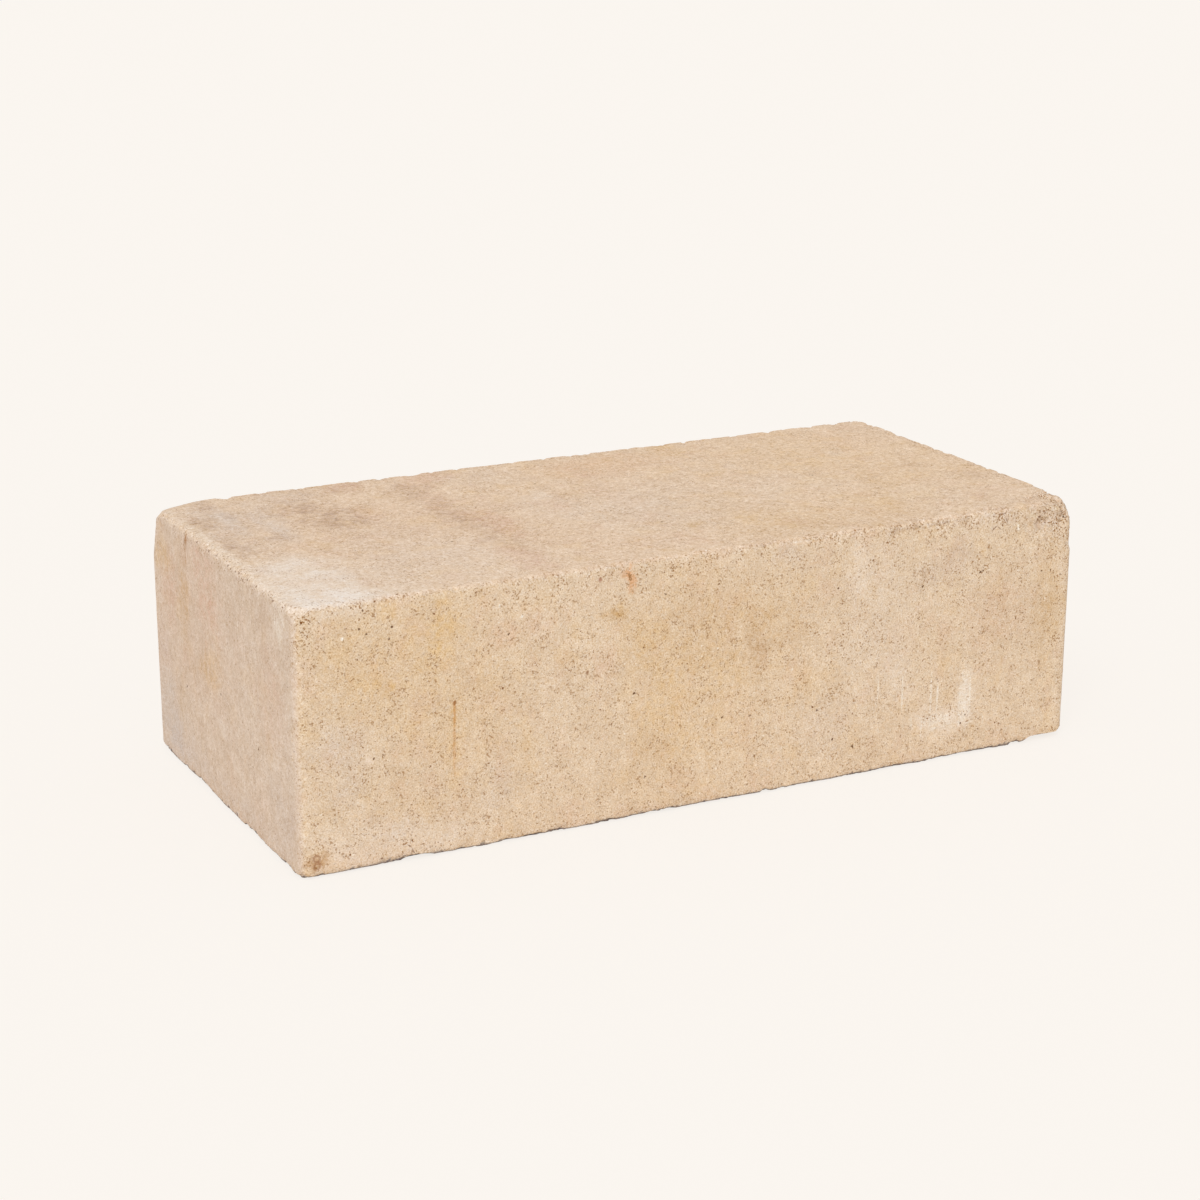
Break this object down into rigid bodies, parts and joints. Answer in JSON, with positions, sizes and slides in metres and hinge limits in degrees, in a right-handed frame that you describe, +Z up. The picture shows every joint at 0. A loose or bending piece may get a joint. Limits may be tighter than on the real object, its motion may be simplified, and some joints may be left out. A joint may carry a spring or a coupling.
{
  "type": "stock brick",
  "caption": "Solid rectangular buff clay walling brick with softly rounded arrises, worn corners and small chips along its lower front arris.",
  "frame": {"origin": "centre of the lower bed, at the middle of the brick's length and width", "axes": "+X runs along the length towards the right-hand header, +Y across the width from the front stretcher to the back one, +Z up towards the upper bed"},
  "size_m": [0.215, 0.1024, 0.065],
  "materials": {
    "fired_clay": "matte"
  },
  "bodies": {
    "root": {"brick": "fired_clay"}
  },
  "joints": []
}
